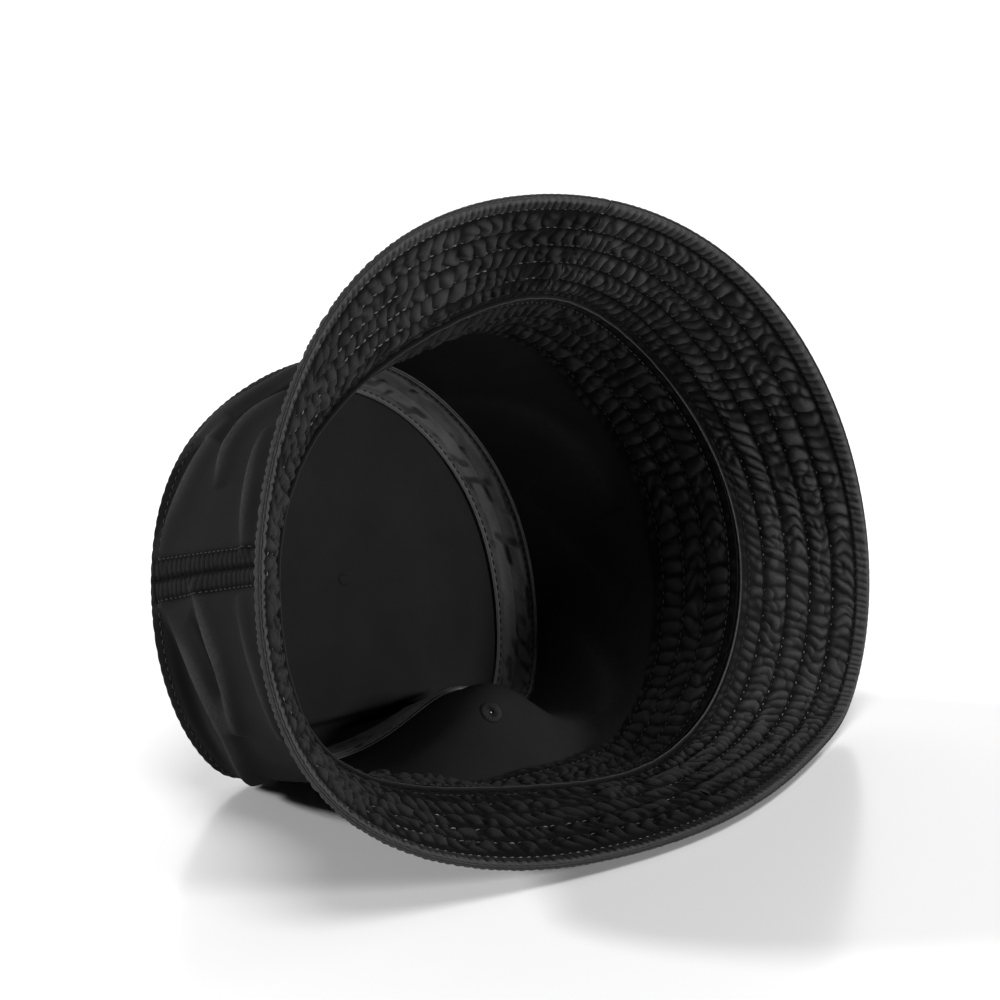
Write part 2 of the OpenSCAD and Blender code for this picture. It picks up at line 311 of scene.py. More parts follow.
def shell(name, surface, turns, v, front, back, closed, material, around, wear_and_shade=None, holes=()):
    """A layer of cloth between two heights over a surface, front towards the hat's inside."""
    turn, across = np.meshgrid(turns, v)
    p, n = place(surface, turn, across)
    rows, cols = turn.shape
    faces, uvs = [], []
    sides = [p + n * np.broadcast_to(h, turn.shape)[..., None] for h in (front, back)]
    for side, first, flip in ((0, 0, True), (1, rows * cols, False)):
        quads, uv = grid_faces(rows, cols, closed, turns, v, around, first, flip)
        if holes:
            flat = sides[side].reshape(-1, 3)
            middle = flat[quads - first].mean(1)
            keep = np.ones(len(quads), bool)
            for point, radius in holes:
                keep &= np.linalg.norm(middle - point, axis=1) > radius
            quads, uv = quads[keep], uv[keep]
        faces.append(quads)
        uvs.append(uv)
    rim = rim_faces(rows, cols, closed, rows * cols)
    faces.append(rim)
    uvs.append(np.zeros((len(rim), 4, 2)))
    verts = np.concatenate([s.reshape(-1, 3) for s in sides])
    marks = np.zeros(turn.shape) if wear_and_shade is None else np.broadcast_to(wear_and_shade, turn.shape)
    return new_object(name, verts, faces, material, uvs, np.tile(marks.ravel(), 2))


# A stitch: its thickness along its length, and how far its ends dip into the cloth
STITCH_RADIUS = 0.24
STITCH_TAPER = STITCH_RADIUS * np.array([0.55, 0.92, 1.0, 0.92, 0.55])
STITCH_DIP = 0.45
THREAD_SIDES = 6


def threads(name, paths, normals, material):
    """Round threads along paths; both arrays are (count, stations, 3)."""
    count, stations, _ = paths.shape
    tangent = np.gradient(paths, axis=1)
    tangent /= np.linalg.norm(tangent, axis=-1, keepdims=True)
    side = np.cross(tangent, normals)
    side /= np.linalg.norm(side, axis=-1, keepdims=True)
    up = np.cross(side, tangent)
    angle = np.arange(THREAD_SIDES) * 2 * math.pi / THREAD_SIDES
    spoke = side[:, :, None] * np.cos(angle)[:, None] + up[:, :, None] * np.sin(angle)[:, None]
    verts = (paths[:, :, None] + STITCH_TAPER[None, :, None, None] * spoke).reshape(-1, 3)
    i, s, k = np.meshgrid(np.arange(count), np.arange(stations - 1), np.arange(THREAD_SIDES),
                          indexing="ij")
    base = (i * stations + s) * THREAD_SIDES
    after = (k + 1) % THREAD_SIDES
    quads = np.stack([base + k, base + k + THREAD_SIDES,
                      base + after + THREAD_SIDES, base + after], -1)
    start = (np.arange(count) * stations * THREAD_SIDES)[:, None]
    corners = np.arange(THREAD_SIDES)
    caps = np.concatenate([start + corners,
                           start + (stations - 1) * THREAD_SIDES + corners[::-1]])
    return new_object(name, verts, [quads.reshape(-1, 4), caps], material)


def stitch_paths(surface, v, height, pitch, length):
    """Separate stitches along a row, each dipping into the cloth at its ends."""
    fine = np.linspace(0, 360, 1441)
    line = surface(fine, np.broadcast_to(v, fine.shape).astype(float))
    run = np.concatenate([[0], np.cumsum(np.linalg.norm(np.diff(line, axis=0), axis=1))])
    count = int(run[-1] / pitch)
    middle = (np.arange(count) + 0.5) * run[-1] / count
    stations = np.linspace(-1, 1, len(STITCH_TAPER))
    at = middle[:, None] + stations[None] * length / 2
    turn = np.interp(at, run, fine)
    p, n = place(surface, turn, np.full_like(turn, v))
    h = height(turn, np.full_like(turn, v)) if callable(height) else height
    drop = STITCH_DIP * stations ** 2
    out = np.sign(np.mean(h))
    return p + n * (h - out * drop)[..., None], n


def stitch_object(name, rows, material):
    """All the stitches of one thread node; rows holds the arguments of stitch_paths."""
    parts = [stitch_paths(*row) for row in rows]
    paths = np.concatenate([p for p, _ in parts])
    normals = np.concatenate([n for _, n in parts])
    return threads(name, paths, normals, material)


def joined(name, *objects):
    """Joins pieces that are one piece of cloth."""
    bpy.ops.object.select_all(action="DESELECT")
    for o in objects:
        o.select_set(True)
    bpy.context.view_layer.objects.active = objects[0]
    bpy.ops.object.join()
    objects[0].name = name
    return objects[0]


# ---------------------------------------------------------------- materials

def principled(name, colour, roughness, specular=0.3, sheen=0.0, sheen_rough=0.5):
    material = bpy.data.materials.new(name)
    material.use_nodes = True
    shader = material.node_tree.nodes["Principled BSDF"]
    shader.inputs["Base Color"].default_value = (*colour, 1)
    shader.inputs["Roughness"].default_value = roughness
    shader.inputs["Specular IOR Level"].default_value = specular
    shader.inputs["Sheen Weight"].default_value = sheen
    shader.inputs["Sheen Roughness"].default_value = sheen_rough
    return material, shader


def grey(level):
    return (level, level, level)


def twill(name, dark, light, worn_and_highlit, sheen=0.02, bump=0.2):
    """Washed twill: diagonal ribs, cloudy fading, crests made paler (worn, and painted highlight)
    and creases darkened with painted shade.

    The point attribute "wear_and_shade" runs from -1, painted shade deep in a crease, over 0 to 1,
    worn pale with painted highlight.
    """
    material, shader = principled(name, dark, 0.85, 0.04, sheen, 0.45)
    nodes, links = material.node_tree.nodes, material.node_tree.links
    place_node = nodes.new("ShaderNodeTexCoord")
    cloud = nodes.new("ShaderNodeTexNoise")
    cloud.inputs["Scale"].default_value = 28
    cloud.inputs["Detail"].default_value = 5
    cloud.inputs["Roughness"].default_value = 0.65
    links.new(place_node.outputs["Object"], cloud.inputs["Vector"])
    fade = nodes.new("ShaderNodeValToRGB")
    fade.color_ramp.elements[0].position = 0.3
    fade.color_ramp.elements[0].color = (*dark, 1)
    fade.color_ramp.elements[1].position = 0.75
    fade.color_ramp.elements[1].color = (*light, 1)
    links.new(cloud.outputs["Fac"], fade.inputs["Fac"])
    # Fine flecks of undyed fibre
    fleck = nodes.new("ShaderNodeTexNoise")
    fleck.inputs["Scale"].default_value = 900
    fleck.inputs["Detail"].default_value = 2
    links.new(place_node.outputs["Object"], fleck.inputs["Vector"])
    wear_and_shade = nodes.new("ShaderNodeAttribute")
    wear_and_shade.attribute_name = "wear_and_shade"
    spread = nodes.new("ShaderNodeMath")
    spread.operation = "MULTIPLY"
    links.new(wear_and_shade.outputs["Fac"], spread.inputs[0])
    links.new(fleck.outputs["Fac"], spread.inputs[1])
    # Worn pale and painted highlight: positive values mix in the pale colour
    mix = nodes.new("ShaderNodeMix")
    mix.data_type = "RGBA"
    links.new(spread.outputs[0], mix.inputs["Factor"])
    links.new(fade.outputs["Color"], mix.inputs["A"])
    mix.inputs["B"].default_value = (*worn_and_highlit, 1)
    # Painted shade: negative values darken the base colour in creases and hollows
    shade = nodes.new("ShaderNodeMapRange")
    shade.inputs["From Min"].default_value = -1
    shade.inputs["From Max"].default_value = 0
    shade.inputs["To Min"].default_value = 0.12
    shade.inputs["To Max"].default_value = 1
    links.new(wear_and_shade.outputs["Fac"], shade.inputs["Value"])
    darken = nodes.new("ShaderNodeMix")
    darken.data_type = "RGBA"
    darken.blend_type = "MULTIPLY"
    darken.inputs["Factor"].default_value = 1
    links.new(mix.outputs["Result"], darken.inputs["A"])
    links.new(shade.outputs["Result"], darken.inputs["B"])
    links.new(darken.outputs["Result"], shader.inputs["Base Color"])
    # Ribs of the weave, 0.75 mm apart, across the cloth's own coordinates
    ribs = nodes.new("ShaderNodeTexWave")
    ribs.bands_direction = "DIAGONAL"
    ribs.inputs["Scale"].default_value = 240
    ribs.inputs["Distortion"].default_value = 0.6
    links.new(place_node.outputs["UV"], ribs.inputs["Vector"])
    add = nodes.new("ShaderNodeMath")
    add.operation = "ADD"
    links.new(ribs.outputs["Fac"], add.inputs[0])
    links.new(fleck.outputs["Fac"], add.inputs[1])
    relief = nodes.new("ShaderNodeBump")
    relief.inputs["Strength"].default_value = bump
    relief.inputs["Distance"].default_value = 0.00012
    links.new(add.outputs[0], relief.inputs["Height"])
    links.new(relief.outputs["Normal"], shader.inputs["Normal"])
    return material


def thread(name, colour):
    return principled(name, colour, 0.6, 0.1, 0.0)[0]


# Each cloth: its darkest and lightest dye, then its colour where worn pale and where a highlight is
# painted
# Painted light: the brim's underside uses a paler copy of the hat's black twill, painted lighter to
# stand in for the light on it
UNDER_CLOTH_PAINTED_LIGHT = twill("under_cloth_painted_light", (0.016, 0.016, 0.0163), (0.027, 0.027, 0.0275), grey(0.10))
TOP_CLOTH = twill("top_cloth", (0.010, 0.010, 0.0103), (0.017, 0.017, 0.0176), grey(0.09))
CROWN_CLOTH = twill("crown_cloth", (0.009, 0.009, 0.0093), (0.0125, 0.0125, 0.013), grey(0.07),
                    sheen=0.0, bump=0.08)
BAND_CLOTH = twill("band_cloth", (0.009, 0.009, 0.0092), (0.014, 0.014, 0.0143), grey(0.12))
TAPE_CLOTH = twill("tape_cloth", (0.055, 0.055, 0.056), (0.085, 0.085, 0.0865), grey(0.14))
STIFFENING = principled("stiffening", (0.55, 0.54, 0.5), 0.9)[0]
GREY_THREAD = thread("grey_thread", (0.11, 0.11, 0.111))
DARK_THREAD = thread("dark_thread", (0.02, 0.02, 0.0205))
BAND_THREAD = thread("band_thread", grey(0.018))
EYELET_THREAD = thread("eyelet_thread", (0.016, 0.016, 0.0163))


def piece(obj, slot, *nodes):
    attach(obj, "root")
    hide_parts(*nodes)
    return obj


# ---------------------------------------------------------------- brim

# Distances from the opening: the five rings of stitches, and all lines the puckers end at
ROWS_OUT = [9, 18, 27, 36, 45]
BRIM_LINES = [0, 2.4] + ROWS_OUT + [51]
# Where the stiffening starts and ends
STIFF_FROM = 2.0
STIFF_TO = 44.5
# For each face of the brim: the seed of its puckers and their height in each channel
BRIM_FACES = {"under": (11, [0.8, 1.5, 2.3, 2.3, 2.3, 2.3, 0.4]),
              "top": (57, [0.4, 0.8, 1.1, 1.1, 1.1, 0.9, 0.3])}
EDGE_ROUND = length_round(brim, 50.0)
SEAM_ROUND = length_round(brim, 0.0)
BRIM_ROUND = (EDGE_ROUND + SEAM_ROUND) / 2

# The two halves of the brim: the turns they lie between, and the distance from one pucker
# to the next
HALVES = {"back": (LEFT_SEAM, RIGHT_SEAM), "front": (RIGHT_SEAM, LEFT_SEAM + 360)}
PITCH = {"back": 5.8, "front": 4.4}
SEAM_INSET = 0.12


def brim_turns(half):
    low, high = HALVES[half]
    return np.linspace(low + SEAM_INSET, high - SEAM_INSET, int((high - low) / 0.3))


def brim_rows():
    fine = [np.arange(0.35, 45, 0.6), np.arange(45, 50.05, 0.25), [50.3, 50.5, 50.62, 50.7]]
    return np.concatenate(fine)


def edge_scallop(turn, seed):
    return gathers(turn, 0, 2.9, EDGE_ROUND, seed) - 0.5


def side_seam(turn, half):
    """Distance in mm from the nearer side seam of a half brim."""
    low, high = HALVES[half]
    return np.minimum(turn - low, high - turn) * BRIM_ROUND / 360


def brim_relief(turn, v, half, face):
    seed, heights = BRIM_FACES[face]
    return channel_relief(turn, v, BRIM_LINES, heights, PITCH[half], BRIM_ROUND, seed)


def brim_height(turn, v, half, face):
    """Height of the puckered face over the middle of the brim."""
    roll = 0.25 * smooth(v, 46.5, 48.5)
    sewn = sum(bell(v, r, 0.9) for r in ROWS_OUT)
    puckers = brim_relief(turn, v, half, face) * (1 - 0.9 * sewn)
    edge = edge_scallop(turn, BRIM_FACES[face][0] + 40) * 0.55 * smooth(v, 45.3, 46.5)
    rim = seam_round(51 - v, 1.9) * seam_round(v + 0.1, 1.0)
    seams = seam_round(side_seam(turn, half) + 0.1, 1.6)
    return (0.8 + puckers + roll + edge - 0.2 * sewn) * rim * seams + 0.12


def brim_wear_and_shade(turn, v, half, face):
    seed, heights = BRIM_FACES[face]
    height = brim_relief(turn, v, half, face) / heights[3]
    ladder = edge_scallop(turn, seed + 40)
    rim = smooth(v, 45.2, 46)
    # Painted light: the front of the brim is painted paler
    front = 0.5 + 0.5 * np.cos(np.radians(turn - 35))
    # Worn pale at the outer edge; the crests of the scallops and puckers are paler, worn and painted
    # highlight
    wear_and_highlight = 0.25 * smooth(v, 48.8, 49.8) + (0.08 + 0.3 * front) * rim * smooth(ladder, 0, 0.5)
    wear_and_highlight = wear_and_highlight + 0.16 * smooth(height, 0.5, 1.0) + 0.24 * front ** 2
    # Painted shade in the creases between the puckers and in the troughs of the rim's scallops
    crease_shade = (1 - smooth(height, 0.1, 0.65)) * (1 - rim) + 0.7 * rim * smooth(-ladder, -0.1, 0.4)
    # Painted shade along the rows of stitches
    sewn = 0.6 * bell(v, ROWS_OUT[-1], 0.8) + sum(0.3 * bell(v, r, 0.7) for r in ROWS_OUT[:-1])
    # Painted shade: darker at the floor, at the back and on top
    turn_shade = 0.75 * bell(turn, 262, 36) + 0.35 * bell(turn, 180, 45) + 0.6 * bell(turn, 85, 13)
    return np.clip(wear_and_highlight - (crease_shade + sewn + turn_shade) * smooth(50 - v, 0, 1), -1, 1)


def brim_surface_rolled(turn, v):
    """The brim with its outermost millimetres scalloped by the edge seam."""
    wavy = v - 0.3 + 0.06 * edge_scallop(turn, 91) * smooth(v, 47, 50)
    return brim(turn, wavy)


def make_brim_under(half):
    turns = brim_turns(half)
    v = brim_rows()
    turn, across = np.meshgrid(turns, v)
    front = brim_height(turn, across, half, "under")
    obj = shell("brim_under_cloth_" + half, brim_surface_rolled, turns, v, front, 0.08, False,
                UNDER_CLOTH_PAINTED_LIGHT, BRIM_ROUND, brim_wear_and_shade(turn, across, half, "under"))
    return piece(obj, "brim_under_cloth", "brim_under_" + half)


def make_brim_top(half):
    turns = brim_turns(half)
    v = brim_rows() + 0.5 * smooth(brim_rows(), 46, 50)
    turn, across = np.meshgrid(turns, v)
    back = -brim_height(turn, np.minimum(across, 50.9), half, "top")
    obj = shell("brim_top_cloth_" + half, brim_surface_rolled, turns, v, -0.08, back, False,
                TOP_CLOTH, BRIM_ROUND, brim_wear_and_shade(turn, across, half, "top"))
    return piece(obj, "brim_top_cloth", "brim_top_" + half)


def make_stiffener(half):
    low, high = HALVES[half]
    turns = np.linspace(low + 0.5, high - 0.5, 120)
    obj = shell("brim_stiffener_cloth_" + half, brim, turns, np.linspace(STIFF_FROM, STIFF_TO, 16),
                0.05, -0.05, False, STIFFENING, BRIM_ROUND)
    return piece(obj, "stiffening", "brim_stiffener_" + half)


def under_stitch_height(turn, v):
    """The rows are drawn deepest where the puckers are finest."""
    outermost = smooth(v, 40, 44)
    return 0.65 - 0.1 * outermost + (0.65 - 0.35 * outermost) * bell(turn, 185, 90)


def make_brim():
    for half, (low, high) in HALVES.items():
        under = make_brim_under(half)
        top = make_brim_top(half)
        stiff = make_stiffener(half)
    rows = [(brim, r, under_stitch_height, 3.1, 2.3) for r in ROWS_OUT]
    piece(stitch_object("brim_under_stitches", rows, GREY_THREAD), "under_thread",
          "brim_under_thread")
    rows = [(brim, r, -0.9, 3.1, 2.3) for r in ROWS_OUT]
    piece(stitch_object("brim_top_stitches", rows, DARK_THREAD), "outer_thread",
          "brim_top_thread")


# ---------------------------------------------------------------- crown

# Soft folds of the wall, then the hollows between them: (turn, share) stations, height and
# half-width in mm
FOLDS = [
    ([(154, 0.0), (146, 0.05), (136, 0.16), (128, 0.26), (112, 0.32)], 3.0, 5.5),
    ([(156, 0.50), (145, 0.43), (136, 0.45), (127, 0.60)], 3.4, 4.5),
    ([(175, 0.06), (162, 0.20), (150, 0.25), (136, 0.28)], 3.4, 5.5),
    ([(169, 0.82), (159, 0.79), (150, 0.73), (139, 0.67)], 3.0, 4.0),
    ([(183, 0.08), (191, 0.33), (202, 0.45), (212, 0.42), (230, 0.08)], 3.6, 5.0),
    ([(177, 0.40), (186, 0.53), (194, 0.60), (208, 0.52)], 3.2, 4.5),
    ([(177, 0.76), (188, 0.83), (196, 0.87), (210, 0.84)], 2.4, 4.0),
    ([(52, 0.1), (40, 0.35), (22, 0.5), (8, 0.5)], 1.8, 8.0),
    ([(350, 0.2), (335, 0.45), (318, 0.5)], 1.8, 8.0),
    ([(20, 0.15), (5, 0.25), (-10, 0.5)], 1.5, 7.0),
    ([(116, 0.50), (127, 0.41), (134, 0.35), (145, 0.33)], -3.2, 6.5),
    ([(144, 0.14), (152, 0.12), (162, 0.07), (174, 0.02)], -3.0, 8.0),
    ([(184, 0.10), (191, 0.13), (203, 0.16), (220, 0.02)], -3.4, 10.0),
    ([(184, 0.34), (190, 0.45), (199, 0.52)], -1.8, 3.5),
    ([(142, 0.84), (150, 0.88), (160, 0.92), (168, 0.94)], -2.2, 3.5),
]
WALL_ROUND = length_round(crown, WALL_DEPTH / 2)
WALL_MM_PER_DEGREE = WALL_ROUND / 360

# Length of the tip seam along the wall, the tape and the tip, and the pitch of its puckers
TIP_SEAM_WALL = 510
TIP_SEAM_TAPE = 505
TIP_SEAM_TIP = 500
TIP_SEAM_PITCH = 3.4

# Radius of the air holes in the wall, which the thread of the eyelets draws tighter
HOLE_RADIUS = 1.9
# The rows of stitches either side of the centre-back seam
BACK_ROW = 6.0


def rounded(stations):
    """The stations with their corners cut twice, both ends kept."""
    for _ in range(2):
        cut = [stations[0]]
        for (a0, s0), (a1, s1) in zip(stations, stations[1:]):
            for share in (0.25, 0.75):
                cut.append((a0 + (a1 - a0) * share, s0 + (s1 - s0) * share))
        stations = cut + [stations[-1]]
    return stations


def fold_relief(turn, v):
    """Height outwards of the soft folds of the wall."""
    h = np.zeros(np.broadcast(turn, v).shape)
    for corners, height, width in FOLDS:
        stations = rounded(corners)
        nearest = np.full(h.shape, 1e9)
        along = np.zeros(h.shape)
        for i, ((a0, s0), (a1, s1)) in enumerate(zip(stations, stations[1:])):
            dx, dy = (a1 - a0) * WALL_MM_PER_DEGREE, (s1 - s0) * WALL_DEPTH
            px = (np.mod(turn - a0 + 180, 360) - 180) * WALL_MM_PER_DEGREE
            py = v - s0 * WALL_DEPTH
            t = np.clip((px * dx + py * dy) / (dx * dx + dy * dy), 0, 1)
            d = np.hypot(px - t * dx, py - t * dy)
            closer = d < nearest
            nearest = np.where(closer, d, nearest)
            along = np.where(closer, (i + t) / (len(stations) - 1), along)
        ridge = np.exp(-np.abs(nearest / width) ** 1.6)
        h += height * ridge * np.sin(math.pi * along) ** 0.6
    return h


def back_seam_turn(v):
    """The turn of the centre-back seam, which runs a little aslant."""
    s = np.clip(v / WALL_DEPTH, 0, 1)
    return BACK_TURN[0] * (1 - s) + BACK_TURN[1] * s


def back_seam_offset(turn, v):
    """Distance in mm from the centre-back seam."""
    return (np.mod(turn, 360) - back_seam_turn(v)) * WALL_MM_PER_DEGREE


def back_seam_relief(turn, v):
    """Height outwards of the pressed-open back seam."""
    w = back_seam_offset(turn, v)
    ladder = np.abs(np.sin(math.pi * (v / 3.3 + 0.25 * noise(v / 5, w / 6, 5, 64)))) ** 0.7
    allowance = smooth(6.6 - np.abs(w), 0, 0.9)
    puffs = np.sin(math.pi * np.clip(np.abs(w) / BACK_ROW, 0, 1)) ** 0.6
    ends = smooth(v, 2, 6)
    return ends * (allowance * (0.35 + 0.75 * puffs * ladder) - 0.95 * bell(w, 0, 0.55)
                   - 0.3 * bell(np.abs(w), BACK_ROW, 0.5))


def tip_seam_puffs(turn, v, around, seed):
    """Puckers of the seam allowance between the tip seam and the row beside it."""
    arch = np.sin(math.pi * np.clip(v / TAPE_ROW, 0, 1)) ** 0.6
    return gathers(turn, v, TIP_SEAM_PITCH, around, seed) * arch


def wall_heights(turn, v):
    """Heights of the wall's inside and outside faces."""
    ease = smooth(v, 3, 16) * smooth(WALL_DEPTH - v, 1, 10)
    # The wall goes inwards only between the tape and the sweatband
    free = smooth(v, 11, 20) * smooth(56 - v, 0, 8)
    folds = fold_relief(turn, v)
    drape = -1.2 * ease * (np.maximum(folds, 0) + 0.5 * free * np.minimum(folds, 0))
    drape += 0.35 * noise(way_round(turn) * 40, v / 16, 21, 40) * ease
    allowance = tip_seam_puffs(turn, v, TIP_SEAM_WALL, 33)
    outside = -TWILL - back_seam_relief(turn, v) - 0.3 * allowance * (v < TAPE_ROW)
    outside += 0.15 * bell(v, TAPE_ROW, 0.5) + 0.5 * bell(v, 0, 0.9)
    near_brim = gathers(turn, WALL_DEPTH - v, 4.5, 600, 35) * smooth(v, 80, 87)
    outside -= 0.35 * near_brim
    return drape, outside + drape


def wall_wear_and_shade(turn, v):
    folds = fold_relief(turn, v)
    ridge = smooth(folds, 0.4, 3.2)
    hollow = smooth(-folds, 0.0, 2.4)
    seam_w = np.abs(back_seam_offset(turn, v))
    seam = bell(v, 1.6, 1.3) + 0.5 * bell(seam_w, 1.6, 0.8) + 0.3 * bell(seam_w, 4, 1.5)
    sewn = bell(seam_w, 0, 0.8) + bell(seam_w, BACK_ROW, 0.8) + 0.2 * bell(v, TAPE_ROW, 0.8)
    rungs = (1 - smooth(back_seam_relief(turn, v), 0.4, 0.95)) * smooth(6.3 - seam_w, 0, 0.6)
    # Painted shade: darkest in the hollows between the folds, under the brim at the top and towards
    # the floor
    under_brim = bell(turn, 118, 20) * bell(v, 70, 26)
    to_floor = smooth(turn, 196, 236) * smooth(-turn, -285, -250)
    dark = 0.95 * hollow + 0.38 * (1 - ridge) * bell(turn, 165, 60) + 0.45 * (under_brim + to_floor)
    # Fold crests painted paler as painted highlight, seam edges worn pale, stitch lines and the
    # ladder's rungs painted darker as painted shade
    wear_and_shade = 0.45 * ridge + 0.3 * seam - dark - 0.8 * sewn - 0.7 * rungs
    return np.clip(wear_and_shade, -1, 1)


def eyelet_turns(middle):
    return [middle - EYELET_TURN, middle + EYELET_TURN]


def make_wall():
    turns = np.arange(0, 360, 0.5)
    v = np.concatenate([np.arange(0.25, 10, 0.45), np.arange(10, 87, 0.85), [87.4, 87.8]])
    turn, across = np.meshgrid(turns, v)
    inside, outside = wall_heights(turn, across)
    holes = []
    for at in eyelet_turns(LEFT_EYELETS) + eyelet_turns(RIGHT_EYELETS):
        p, _ = place(crown, np.array([at]), np.array([EYELET_RISE]))
        holes.append((p[0], HOLE_RADIUS))
    obj = shell("wall_cloth", crown, turns, v, inside, outside, True, CROWN_CLOTH, WALL_ROUND,
                wall_wear_and_shade(turn, across), holes)
    piece(obj, "crown_cloth", "crown_wall")


def make_tip():
    turns = np.arange(0, 360, 0.75)
    v = -np.concatenate([np.arange(0.25, 10, 0.45), np.arange(10, 76, 1.1), [76.5]])[::-1]
    turn, across = np.meshgrid(turns, v)
    calm = smooth(-across, 3, 12) * smooth(TIP_RADIUS + across, 4, 20)
    soft = 0.4 * noise(way_round(turn) * 12, across / 18, 71, 12) * calm
    puffs = tip_seam_puffs(turn, -across, TIP_SEAM_TIP, 37)
    outside = -TWILL - 0.3 * puffs * (across > -TAPE_ROW) + 0.3 * bell(across, -TAPE_ROW, 0.5)
    outside += 0.5 * bell(across, 0, 0.9) + soft
    obj = shell("crown_tip_ring", crown, turns, v, soft, outside, True, CROWN_CLOTH, TIP_SEAM_TIP,
                0.4 * bell(across, -1.6, 1.3))
    p, n = place(crown, turns, np.full_like(turns, v[0]))
    discs = []
    for h, flip in ((soft[0], False), (outside[0], True)):
        loop = p + n * h[:, None]
        fan = np.arange(len(loop))
        tri = np.stack([np.full_like(fan, len(loop)), fan, (fan + 1) % len(loop)], -1)
        tri = tri if flip else tri[:, ::-1]
        verts = np.concatenate([loop, loop.mean(0)[None]])
        uv = np.zeros((len(tri), 3, 2))
        discs.append(new_object("hub", verts, [tri], CROWN_CLOTH, [uv], np.zeros(len(verts))))
    obj = piece(joined("tip_cloth", obj, *discs), "crown_cloth", "crown_tip")


def tape_dents(turn, v):
    """Scattered dents where the tape is drawn in: 1 in a dent."""
    patchy = smooth(noise(way_round(turn) * 70, v / 5, 47, 70), -0.5, 0.3)
    return smooth(noise(way_round(turn) * 130 + v / 6, v / 3.2, 49, 130), 0.05, 0.75) * patchy


def tape_height(turn, v):
    body = smooth(7.4 - np.abs(v), 0, 2)
    roll = 0.4 * smooth(np.abs(v), 7.7, 8.6)
    uneven = 0.3 * noise(way_round(turn) * 100, v / 4, 46, 100)
    puckers = 0.8 - 0.5 * tape_dents(turn, v) + uneven
    return 1.0 + body * puckers + roll - 0.2 * bell(np.abs(v), TAPE_ROW, 0.45)


def make_tape():
    turns = np.arange(0, 360, 0.4)
    v = np.concatenate([np.arange(-9.3, -7, 0.2), np.arange(-7, 7, 0.5), np.arange(7, 9.35, 0.2)])
    turn, across = np.meshgrid(turns, v)
    rim = seam_round(9.45 - np.abs(across), 0.9)
    front = 0.3 + (tape_height(turn, across) - 0.3) * rim
    dents = tape_dents(turn, across)
    # The rolled wall-side edge is paler, worn and painted highlight; the dents are painted darker as
    # painted shade
    wear_and_shade = 0.55 * smooth(across, 8.4, 9.0) - 0.75 * dents * smooth(7.6 - np.abs(across), 0, 1)
    obj = shell("tape_cloth", tape_surface, turns, v, front, 0.25, True, TAPE_CLOTH,
                TIP_SEAM_TAPE, wear_and_shade)
    piece(obj, "tape", "tip_seam_tape")
    rows = [(tape_surface, row, 1.15, 3.0, 2.1) for row in (-TAPE_ROW, TAPE_ROW)]
    piece(stitch_object("tape_stitches", rows, DARK_THREAD), "outer_thread", "tape_thread")
    rows = [(crown, row, -TWILL - 0.1, 3.0, 2.1) for row in (-TAPE_ROW, TAPE_ROW)]
    piece(stitch_object("crown_topstitches", rows, DARK_THREAD), "outer_thread",
          "crown_topstitch_thread")


def make_back_seam_stitches():
    paths, normals = [], []
    stations = np.linspace(-1, 1, len(STITCH_TAPER))
    for side in (-BACK_ROW, BACK_ROW):
        for middle in np.arange(9, 84, 3.0):
            at = middle + 1.05 * stations
            turn = back_seam_turn(at) + side / WALL_MM_PER_DEGREE
            p, n = place(crown, turn, at)
            _, outside = wall_heights(turn, at)
            paths.append(p + n * (outside - 0.15 + 0.4 * stations ** 2)[:, None])
            normals.append(n)
    obj = threads("back_seam_stitches", np.array(paths), np.array(normals), DARK_THREAD)
    piece(obj, "outer_thread", "back_seam_thread")


# ---------------------------------------------------------------- sweatband

# Distances from the tip seam: the band's free edge, its rings of stitches and the opening.
# Between them it stands up in puckers of these heights
BAND_LINES = [56, 60, 68, 76, 85, 88]
BAND_HEIGHTS = [0.7, 1.6, 1.6, 1.6, 0.5]


def band_relief(turn, v):
    return channel_relief(turn, v, BAND_LINES, BAND_HEIGHTS, 5.5, 590, 131)


def band_front(turn, v):
    relief = band_relief(turn, v)
    groove = sum(0.3 * bell(v, r, 0.5) for r in BAND_LINES[1:-1])
    loose = np.abs(0.9 * noise(way_round(turn) * 30, 0.5, 133, 30)) * smooth(64 - v, 0, 8)
    # It hangs away from the wall on the side that lies on top
    hang = 4.0 * bell(np.mod(turn, 360), 98, 24) * smooth(WALL_DEPTH - v, 1, 14)
    return 2.7 + relief - groove + loose + hang


def band_edge(turn, v):
    """The band's free edge waves a little up and down the wall."""
    wave = 1.4 * noise(way_round(turn) * 40, 2.5, 134, 40)
    return crown(turn, v + wave * smooth(66 - v, 0, 10))


def make_sweatband():
    turns = np.arange(0, 360, 0.45)
    v = np.concatenate([np.arange(56, 58.4, 0.3), np.arange(58.6, 87.9, 0.6), [87.9]])
    turn, across = np.meshgrid(turns, v)
    rim = seam_round(across - 55.98, 1.7)
    front = 1.5 + (band_front(turn, across) - 1.5) * rim
    back = 0.3 + (front - 0.6) * (1 - rim)
    # The folded free edge is worn paler; the creases between the puckers are painted darker as
    # painted shade
    wear_and_shade = 0.3 * bell(across, 56.4, 0.8) - 0.95 * (1 - smooth(band_relief(turn, across), 0.2, 0.9))
    obj = shell("sweatband", band_edge, turns, v, front, back, True, BAND_CLOTH, 580, wear_and_shade)
    obj = joined("sweatband_cloth", obj, make_ridge())
    piece(obj, "sweatband_cloth", "sweatband", "sweatband_padding")
    rows = [(crown, row, 3.0, 3.0, 2.1) for row in BAND_LINES[1:4]]
    piece(stitch_object("sweatband_stitches", rows, BAND_THREAD), "under_thread",
          "sweatband_thread")
    rows = [(crown, 85.0, 3.0, 2.6, 1.9), (brim, 2.6, 1.25, 2.6, 1.9)]
    piece(stitch_object("opening_stitches", rows, BAND_THREAD), "under_thread",
          "opening_seam_thread")


